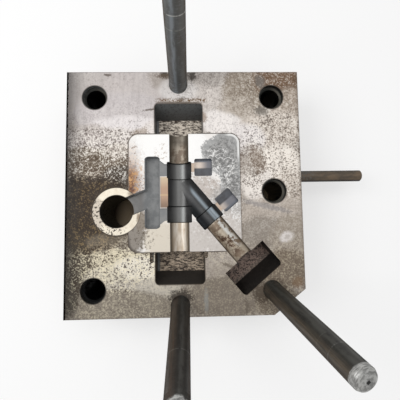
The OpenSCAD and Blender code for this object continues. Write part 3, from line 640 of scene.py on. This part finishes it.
rust_tone = insert.mix(insert.fade(fine, 0.40, 0.56), (202, 156, 108), (116, 78, 50))
rust_tone = insert.mix(insert.fade(stained, 0.52, 0.60), rust_tone, (96, 56, 34))
tone = insert.mix(rusty, tone, rust_tone)
speck = insert.fade(fine, 0.54, 0.62)
tone = insert.areas(tone, [
    (-0.106, 0.078, 0.014, 0.036, 0, 0.8, (132, 98, 64)),
    (-0.098, 0.012, 0.024, 0.034, 0, 0.8, (100, 62, 40)),
    (-0.080, -0.094, 0.026, 0.030, 0, 0.9, (92, 80, 62)),
    (-0.100, -0.080, 0.036, 0.060, 0, 0.6, (84, 74, 64)),
    (-0.045, 0.080, 0.022, 0.022, 0, 0.6, (170, 148, 122)),
    (-0.050, -0.082, 0.034, 0.020, 0, 0.5, (186, 170, 150)),
    (0.036, 0.014, 0.050, 0.034, -35, 0.6, (146, 134, 124)),
    (0.090, -0.030, 0.046, 0.044, -20, 0.6, (132, 127, 123)),
    (0.050, -0.098, 0.110, 0.040, 0, 0.3, (160, 152, 144)),
], ragged, 0.3, within=[speck])
glow = insert.both(insert.patch(0.060, -0.010, 0.110, 0.120, 0, ragged, 0.3), insert.fade(fine, 0.46, 0.38))
tone = insert.mix(insert.calc("MULTIPLY", glow, 0.5), tone, (240, 238, 235))

# Land between the gates: copper coloured, pale at its upper end and burnt at its lower end
land = insert.both(insert.between(insert.x, *LAND_X, 0.0012),
                   insert.between(insert.y, *LAND_Y, 0.002))
copper = insert.mix(insert.fade(insert.y, 0.026, 0.004), (206, 184, 156), (186, 154, 130))
copper = insert.mix(insert.fade(insert.y, -0.006, -0.034), copper, (138, 114, 96))
copper = insert.mix(insert.both(insert.fade(insert.x, -0.046, -0.050), 0.5), copper, (130, 124, 118))
copper = insert.mix(insert.near(insert.y, -0.0075, 0.0016, 0.0004), copper, (206, 178, 140))
tone = insert.mix(land, tone, copper)

# Edge of the face: a painted highlight along the upper right, a dull line at the left, a dark one all round
rim = insert.outline(0, CASTING[1], INSERT_X, INSERT_Y, INSERT_CORNER)
upper_part = insert.fade(insert.y, 0.05, 0.08)
# White line inside the upper right rim: painted highlight
bright = insert.both(insert.fade(rim, -0.0060, -0.0035), insert.fade(insert.x, 0.080, 0.095), upper_part)
tone = insert.mix(insert.both(bright, 0.85), tone, (236, 235, 233))
dull = insert.both(insert.fade(rim, -0.0022, -0.0006), insert.fade(insert.x, 0.02, -0.02))
tone = insert.mix(insert.both(dull, 0.5), tone, (168, 156, 142))
right_dark = insert.level(insert.fade(insert.y, 0.03, 0.09), 0.4, 0.9)
dark = insert.both(insert.fade(rim, -0.0008, -0.0001),
                   insert.level(insert.fade(insert.x, 0.095, 0.111), 0.9, right_dark))
tone = insert.mix(dark, tone, (60, 54, 48))
# Dark band along the rim at the lower left corner: painted shade in the seam
corner_seam_shade = insert.both(insert.fade(insert.x, -0.084, -0.104), insert.fade(insert.y, -0.080, -0.104))
tone = insert.mix(insert.both(insert.fade(rim, -0.0060, -0.0010), corner_seam_shade, 0.75), tone, (66, 58, 50))

# Runner, channel and gates: grey, their sloping walls lighter, painted light; wells: a pale floor and darker
# ramps and ends, painted light and shade
runner_tone = insert.mix(insert.fade(ragged, 0.38, 0.62), (106, 108, 109), (130, 131, 131))
runner_tone = insert.mix(insert.fade(insert.x, -0.080, -0.092), runner_tone, (112, 110, 108))
# Lighter sloping walls of the runner: painted light
lit_slopes = insert.both(insert.fade(insert.up, 0.95, 0.80),
                      insert.fade(insert.z, BLOCK_Z - 0.0125, BLOCK_Z - 0.010))
runner_tone = insert.mix(insert.calc("MULTIPLY", lit_slopes, 0.9), runner_tone, (156, 158, 160))
gate = insert.both(insert.fade(insert.z, GATE_FLOOR - 0.0020, GATE_FLOOR - 0.0004),
                   insert.fade(insert.up, 0.9, 0.98))
gate_tone = insert.mix(insert.fade(ragged, 0.4, 0.6), (126, 127, 128), (138, 138, 137))
runner_tone = insert.mix(gate, runner_tone, gate_tone)
upper_well = insert.fade(insert.y, 0.018, 0.022)
well_s = insert.level(upper_well, branch_s, insert.calc("ADD", insert.y, 0.0425))
well_out = insert.level(upper_well, branch_w, insert.x)
# Pale well floor: painted light
well_floor_light = insert.mix(insert.fade(well_out, 0.028, 0.050), (224, 209, 196), (120, 120, 126))
# Darker ramp and end of each well: painted shade
well_tone = insert.mix(insert.fade(well_s, *WELL_RAMP), insert.mix(
    insert.fade(ragged, 0.4, 0.6), (104, 106, 111), (91, 91, 94)), well_floor_light)
well_tone = insert.mix(insert.fade(well_s, *WELL_END), well_tone, (108, 112, 120))
well_tone = insert.mix(gate, well_tone, (196, 176, 158))
tone = insert.mix(low, tone, well_tone)
tone = insert.mix(runner, tone, runner_tone)

# Impression: charcoal, with painted highlights down the main bore, its collars, the arm and the arm's collar,
# painted shade along the lower side of the arm, and dark rings where the collars start
black = insert.mix(insert.fade(ragged, 0.35, 0.65), (60, 60, 60), (74, 74, 75))
# Lighter band down the main bore: painted highlight
black = insert.mix(insert.both(in_main, insert.between(main_w, -0.014, 0.010, 0.008)), black, (102, 102, 101))
# Light band on the collars of the main bore: painted highlight
collar_highlight = insert.both(in_main, insert.between(main_w, 0.002, 0.009, 0.004),
                        insert.fade(main_s, 0.024, 0.032))
black = insert.mix(collar_highlight, black, (136, 138, 137))
in_arm = insert.fade(insert.x, 0.008, 0.018)
# Darker lower side of the arm: painted shade
black = insert.mix(insert.both(in_arm, insert.fade(branch_w, 0.004, -0.012)), black, (50, 52, 54))
# Bluish band along the arm and a brighter one on its collar: painted highlights
arm_highlight = insert.both(in_arm, insert.between(branch_w, 0.0060, 0.0120, 0.0032))
black = insert.mix(arm_highlight, black, (156, 167, 175))
arm_collar_highlight = insert.both(in_arm, insert.between(branch_w, 0.0120, 0.0175, 0.0020),
                            insert.fade(branch_s, 0.078, 0.083))
black = insert.mix(arm_collar_highlight, black, (196, 209, 218))
rings = insert.either(
    insert.both(in_main, insert.near(main_s, MAIN_COLLAR, 0.0013, 0.0005)),
    insert.both(in_main, insert.fade(main_s, MAIN_END - 0.0020, MAIN_END - 0.0005)),
    insert.both(in_branch, insert.near(branch_s, BRANCH_COLLAR, 0.0013, 0.0005)),
    insert.both(in_branch, insert.fade(branch_s, BRANCH_END - 0.0020, BRANCH_END - 0.0005)))
black = insert.mix(rings, black, (16, 16, 17))
tone = insert.mix(tube, tone, black)

# Core seats: the upper one grey brown, the lower one ivory with streaks, the branch one mixed; their edges
# darker, painted shade
streak = insert.noise(0.006, 4, 0.65, (1, 8, 1), shift=3.3)
main_ivory = insert.mix(insert.fade(streak, 0.40, 0.62), (222, 213, 200), (188, 172, 152))
main_grey = insert.mix(insert.fade(stained, 0.42, 0.58), (160, 150, 136), (118, 104, 90))
main_ivory = insert.mix(insert.fade(insert.y, -0.02, 0.02), main_ivory, main_grey)
# Both edges of the main seat darker: painted shade
beside = insert.calc("ABSOLUTE", main_w)
main_ivory = insert.mix(insert.fade(beside, 0.0110, 0.0185), main_ivory, (96, 88, 78))
main_ivory = insert.mix(insert.both(insert.fade(insert.y, 0.088, 0.106), 0.7), main_ivory, (104, 98, 88))
tone = insert.mix(main_seat, tone, main_ivory)
tone = insert.mix(branch_seat, tone, branch_seat_tone(insert, branch_s, branch_w, stained))
insert.put("Base Color", tone)
seats = insert.either(main_seat, branch_seat)
insert.put("Metallic", insert.level(insert.either(tube, seats), 0.15, 0.40))
dull_face = insert.level(seats, insert.calc("MULTIPLY_ADD", ragged, 0.25, 0.35), 0.42)
insert.put("Roughness", insert.level(tube, dull_face, 0.34))
insert.bump(insert.calc("MULTIPLY_ADD", fine, -1.2, insert.noise(0.0009, 2, 0.5, (30, 1, 1))), 0.00012, 0.4)
insert.wear("cavity_insert")


# Shot sleeve and the ring that clamps its flange: turned steel, cream on the end face with
# black pits at the lower left, burnt black in the bore, with painted light in brown on its right side.
SLEEVE_BORE = 0.065
bore_edge = SLEEVE_BORE / 2
outer_edge = SLEEVE_END / 2

sleeve = Finish("shot sleeve steel", metal=0.25, shine=0.45)
ragged = sleeve.noise(0.012, 4, 0.6, shift=8.3)
pits = sleeve.noise(0.0042, 3, 0.6, shift=1.2)
radius = sleeve.outline(*SLEEVE_PLACE, wide=0, high=0, corner=0)
end_tone = sleeve.mix(sleeve.fade(ragged, 0.35, 0.65), (240, 231, 212), (226, 214, 194))
pitted = sleeve.both(sleeve.patch(-0.168, -0.068, 0.052, 0.075, 40, ragged, 0.35),
                     sleeve.fade(pits, 0.54, 0.60))
end_tone = sleeve.mix(sleeve.patch(-0.184, -0.048, 0.026, 0.060, 0, ragged, 0.3), end_tone, (204, 193, 177))
end_tone = sleeve.mix(pitted, end_tone, (74, 66, 58))
end_tone = sleeve.areas(end_tone, [
    (-0.104, -0.010, 0.022, 0.010, -45, 0.8, (122, 100, 78)),
    (-0.094, -0.054, 0.006, 0.016, -10, 0.8, (122, 100, 78)),
], ragged, 0.5, 0.8)
end_tone = sleeve.mix(sleeve.fade(radius, outer_edge - 0.0017, outer_edge - 0.0001), end_tone, (120, 106, 88))
end_tone = sleeve.mix(sleeve.fade(radius, bore_edge + 0.0020, bore_edge + 0.0003), end_tone, (58, 52, 46))
# Brown on the right side of the bore, which faces the lamp: painted light
glow = sleeve.both(sleeve.fade(sleeve.x, -0.140, -0.104), sleeve.fade(sleeve.z, 0.02, 0.13))
lit_bore_brown = sleeve.mix(sleeve.fade(ragged, 0.35, 0.65), (72, 60, 44), (96, 80, 58))
bore_tone = sleeve.mix(glow, (36, 34, 28), lit_bore_brown)
channel_tone = sleeve.mix(sleeve.fade(ragged, 0.3, 0.7), (106, 105, 103), (120, 119, 117))
tone = sleeve.mix(sleeve.fade(radius, bore_edge + 0.0006, bore_edge + 0.0002), channel_tone, bore_tone)
tone = sleeve.mix(sleeve.fade(sleeve.z, BLOCK_Z - 0.0012, BLOCK_Z - 0.0002), tone, end_tone)
sleeve.put("Base Color", tone)
sleeve.put("Roughness", sleeve.level(pitted, 0.42, 0.75))
sleeve.bump(sleeve.calc("MULTIPLY_ADD", pitted, -1.5, pits), 0.0002, 0.5)
sleeve.wear("shot_sleeve")


def plain_metal(name, nodes, metal, tones, patches, marks, depth, least_rough,
                shift=0.0, start=0.35, stretch=(1, 1, 1)):
    """Metal of two tones in soft patches, with fine marks all over."""
    finish = Finish(name, metal=metal)
    ragged = finish.noise(patches, 4, 0.6, shift=shift)
    finish.put("Base Color", finish.mix(finish.fade(ragged, start, 0.65), *tones))
    finish.put("Roughness", finish.calc("MULTIPLY_ADD", ragged, 0.3, least_rough))
    finish.bump(finish.noise(marks, 2, 0.5, stretch), depth, 0.4)
    finish.wear(*nodes)


plain_metal("turned ring steel", ["sleeve_clamp_ring"], metal=0.5, tones=[(158, 152, 144), (120, 108, 94)],
            patches=0.020, marks=0.0012, depth=0.00008, least_rough=0.30)


# Guide bushes: headed rings of hardened steel, pressed in from behind and sunk a little below
# the parting face, grey at the mouth with a painted highlight on the side that faces the lamp, near black
# below the mouth.
BUSH_HEAD, BUSH_MOUTH = 0.010, 0.1265

bush = Finish("guide bush steel", metal=0.5, shine=0.5)
ragged = bush.noise(0.010, 4, 0.6, shift=2.2)
mouth = bush.fade(bush.z, BUSH_MOUTH - 0.001, BUSH_MOUTH + 0.001)
tone = bush.mix(bush.fade(ragged, 0.35, 0.65), (62, 63, 59), (42, 43, 40))
# Lighter on the side of the mouth that faces the lamp: painted highlight
tone = bush.mix(bush.both(mouth, bush.fade(bush.lean_x, 0.2, -0.5)), tone, (92, 88, 80))
tone = bush.mix(bush.calc("SUBTRACT", 1, mouth), tone, (20, 19, 18))
tone = bush.mix(bush.fade(bush.y, -0.10, -0.15), tone, (14, 14, 14))
tone = bush.mix(bush.fade(bush.z, BUSH_HEAD + 0.002, BUSH_HEAD - 0.002), tone, (130, 124, 116))
bush.put("Base Color", tone)
bush.put("Roughness", bush.calc("MULTIPLY_ADD", ragged, 0.25, 0.28))
bush.bump(bush.noise(0.0015, 2, 0.5), 0.00006, 0.4)
bush.wear("guide_bush_upper_left", "guide_bush_upper_right", "guide_bush_right", "guide_bush_lower_left")


# Angle pins: hardened and oiled bars, each worn in its own way, with a ring mark where the
# slide stops and a bright end. The finish runs along the pin, with a painted highlight down one side; its
# edges are darker and brown.
PIN_LEAN = math.radians(20)
PINS = [
    {"node": "angle_pin_upper", "turn": math.pi / 2, "foot": (-0.011, 0.223), "body": (104, 106, 106),
     "shadow": (90, 90, 88), "light": (136, 142, 147), "rust": (96, 84, 70), "amount": 0.35,
     "edge": (78, 65, 50), "ring_at": 0.163, "ring_share": 0.9, "bright_from": 0.236},
    {"node": "angle_pin_lower", "turn": -math.pi / 2, "foot": (-0.011, -0.227), "body": (56, 54, 51),
     "shadow": (42, 40, 37), "light": (74, 73, 70), "rust": (84, 64, 50), "amount": 0.7,
     "edge": (64, 52, 42), "ring_at": 0.137, "ring_share": 0.12, "bright_from": 0.2165},
    {"node": "angle_pin_branch", "turn": BRANCH_TURN, "foot": (0.17348, -0.20085), "body": (62, 60, 55),
     "shadow": (40, 39, 36), "light": (74, 74, 70), "rust": (101, 88, 73), "amount": 0.9,
     "edge": (66, 55, 44), "ring_at": 0.195, "ring_share": 0.15, "bright_from": 0.236},
]


def pin_finish(node, turn, foot, body, shadow, light, rust, amount, edge, ring_at, ring_share, bright_from):
    """Oiled steel with a painted highlight strip along one side and rust along the other."""
    pin = Finish(node.replace("_", " ") + " steel", metal=0.45, shine=0.5)
    local = pin.turned((foot[0], foot[1], BLOCK_Z), (0, PIN_LEAN, turn))
    out, across, along = pin.parts(local)
    ragged = pin.noise(0.012, 5, 0.6, (1, 1, 2.5), place=local)
    scratch = pin.noise(0.0016, 4, 0.7, (6, 6, 1), shift=3.0, place=local)
    streaks = pin.noise(0.0024, 4, 0.7, (1, 1, 14), shift=6.0, place=local)
    tone = pin.mix(pin.fade(ragged, 0.3, 0.7), body, shadow)
    # Lighter strip along one side: painted highlight
    highlight_strip = pin.both(pin.between(across, 0.0015, 0.0080, 0.0025), pin.fade(ragged, 0.7, 0.4))
    tone = pin.mix(highlight_strip, tone, light)
    stain = pin.both(pin.fade(across, 0.000, -0.010), pin.fade(streaks, 0.22, 0.74))
    tone = pin.mix(pin.calc("MULTIPLY", stain, amount), tone, rust)
    rim = pin.fade(pin.calc("ABSOLUTE", across), 0.0125, 0.0170)
    rim_tone = pin.mix(pin.fade(streaks, 0.42, 0.58), edge, shadow)
    tone = pin.mix(pin.calc("MULTIPLY", rim, 0.85), tone, rim_tone)
    foot_dirt = pin.both(pin.fade(along, 0.030, 0.008), pin.fade(ragged, 0.40, 0.55))
    foot_tone = pin.mix(pin.fade(scratch, 0.45, 0.55), shadow, light)
    tone = pin.mix(pin.calc("MULTIPLY", foot_dirt, 0.8), tone, foot_tone)
    tone = pin.mix(pin.calc("MULTIPLY", pin.fade(scratch, 0.54, 0.64), 0.30), tone, light)
    for place, share in ((ring_at, ring_share), (ring_at - 0.026, ring_share * 0.3)):
        ring = pin.near(along, place, 0.0014, 0.0005)
        tone = pin.mix(pin.both(ring, share, pin.fade(ragged, 0.62, 0.45)), tone, (186, 186, 182))
    shaded = pin.both(pin.near(along, ring_at + 0.0035, 0.0035, 0.0010), ring_share)
    tone = pin.mix(pin.calc("MULTIPLY", shaded, 0.5), tone, shadow)
    worn = pin.fade(pin.calc("MULTIPLY_ADD", ragged, 0.006, along), bright_from + 0.002, bright_from + 0.004)
    bright = pin.mix(pin.fade(scratch, 0.42, 0.60), (138, 138, 136), (196, 196, 193))
    tone = pin.mix(pin.calc("MULTIPLY", worn, 0.85), tone, bright)
    middle = pin.both(pin.near(out, 0.0, 0.0030, 0.0022), pin.near(across, 0.0, 0.0030, 0.0022),
                      pin.fade(along, 0.200, 0.205))
    tone = pin.mix(middle, tone, (26, 25, 24))
    pin.put("Base Color", tone)
    pin.put("Metallic", pin.level(rim, 0.45, 0.10))
    pin.put("Specular IOR Level", pin.level(rim, 0.5, 0.12))
    least_rough = pin.level(rim, 0.26, 0.45)
    pin.put("Roughness", pin.calc("MULTIPLY_ADD", ragged, 0.30, least_rough))
    pin.bump(pin.calc("ADD", streaks, scratch), 0.00012, 0.5)
    pin.wear(node)


for entry in PINS:
    pin_finish(**entry)


# Plates behind the pins: ground steel, let into the back face and held by two cap screws
# each, so that the pins can't back out.
plain_metal("ground plate steel", ["pin_retainer_upper", "pin_retainer_lower", "pin_retainer_branch"],
            metal=0.5, tones=[(142, 136, 128), (112, 102, 92)], patches=0.018, shift=5.5,
            marks=0.0010, stretch=(30, 1, 1), depth=0.00008, least_rough=0.32)


# Cap screws of the plates, the insert and the clamp ring: alloy steel with a black oxide
# skin, all let into the back.
plain_metal("black screw steel", ["retainer_screws", "insert_screws", "clamp_ring_screws"],
            metal=0.4, tones=[(40, 40, 41), (84, 70, 58)], patches=0.006, shift=5.5, start=0.40,
            marks=0.0010, depth=0.00006, least_rough=0.30)


# Lifting bar and its nut: a plain round bar screwed into the right side and locked by the
# nut, brown with rust and scored where slings have rubbed, with painted shade along its upper and lower edges
# and a dark band by the block, partly thread and partly painted shadow.
BAR_Y = 0.037

bar = Finish("rusty bar steel", metal=0.3, shine=0.45)
ragged = bar.noise(0.012, 5, 0.65, (3, 1, 1), shift=6.6)
scored = bar.noise(0.0030, 4, 0.7, (1, 2.5, 1), shift=1.4)
tone = bar.mix(bar.fade(ragged, 0.35, 0.65), (112, 96, 78), (86, 77, 66))
tone = bar.mix(bar.both(bar.fade(bar.x, 0.310, 0.270), bar.fade(scored, 0.44, 0.58)), tone, (104, 102, 98))
# Dark band next to the block: the thread, and a painted shadow
tone = bar.mix(bar.fade(bar.x, 0.262, 0.247), tone, (40, 40, 36))
# Darker upper and lower edges of the round bar: painted shade
tone = bar.mix(bar.near(bar.y, BAR_Y, 0.0080, 0.0115), tone, (44, 38, 32))
bar.put("Base Color", tone)
bar.put("Roughness", bar.calc("MULTIPLY_ADD", ragged, 0.3, 0.45))
bar.bump(bar.calc("ADD", bar.noise(0.0022, 4, 0.6, (3, 1, 1)), scored), 0.00025, 0.5)
bar.wear("lifting_bar", "lifting_bar_nut")


# Cooling fittings and plugs: turned brass, dulled, screwed into the block and the insert. The
# hose stems have barbs, which are added here. The seals between the two are black rubber.
HOSE_LINES = [0.048, 0.076]
HOSE_HEIGHT = 0.044
BARBS = [0.0115, 0.0165, 0.0215]
BARB_LENGTH, BARB_ROOT, BARB_TOP, BARB_LIP = 0.0042, 0.0057, 0.0070, 0.0004
BRASS_PIECES = ["coolant_inlet", "coolant_outlet", "coolant_plugs"]


def barb_rings(lines, height, starts, sides=48):
    """Closed rings round the hose stems: a saw tooth profile of four corners, one parameter, is
    carried round the axis of the stem, the other, at radius times cosine and sine of the angle."""
    profile = np.array([(0, BARB_ROOT), (0, BARB_TOP), (BARB_LENGTH, BARB_ROOT + BARB_LIP),
                        (BARB_LENGTH, BARB_ROOT)])
    angle = np.linspace(0, 2 * np.pi, sides, endpoint=False)
    out, radius = profile[:, 0], profile[:, 1]
    ring = np.stack([np.repeat(-BLOCK_X / 2 - out[:, None], sides, 1), radius[:, None] * np.cos(angle),
                     radius[:, None] * np.sin(angle)], -1).reshape(-1, 3)
    row, col = np.meshgrid(np.arange(4), np.arange(sides), indexing="ij")
    faces = np.stack([(row + down) % 4 * sides + (col + across) % sides
                      for down, across in ((0, 0), (1, 0), (1, 1), (0, 1))], -1).reshape(-1, 4)
    offsets = np.array([(-start, y, height) for y in lines for start in starts])
    points = (ring[None] + offsets[:, None]).reshape(-1, 3)
    faces = (faces[None] + np.arange(len(offsets))[:, None, None] * len(ring)).reshape(-1, 4)
    mesh = bpy.data.meshes.new("hose_barbs")
    mesh.from_pydata(points.tolist(), [], faces.tolist())
    return mesh


barbs = bpy.data.objects.new("hose_barbs", barb_rings(HOSE_LINES, HOSE_HEIGHT, BARBS))
bpy.context.scene.collection.objects.link(barbs)
plain_metal("dull brass", BRASS_PIECES + [barbs], metal=0.85, tones=[(188, 156, 92), (140, 112, 66)],
            patches=0.008, shift=7.7, marks=0.0008, depth=0.00005, least_rough=0.25)
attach(barbs, "root")

rubber = Finish("black rubber", metal=0.0, shine=0.4)
ragged = rubber.noise(0.003, 3, 0.6)
tone = rubber.mix(rubber.fade(ragged, 0.3, 0.7), (34, 34, 34), (50, 49, 47))
rubber.put("Base Color", tone)
rubber.put("Roughness", rubber.calc("MULTIPLY_ADD", ragged, 0.2, 0.60))
rubber.bump(ragged, 0.00004, 0.4)
rubber.wear("coolant_seals")
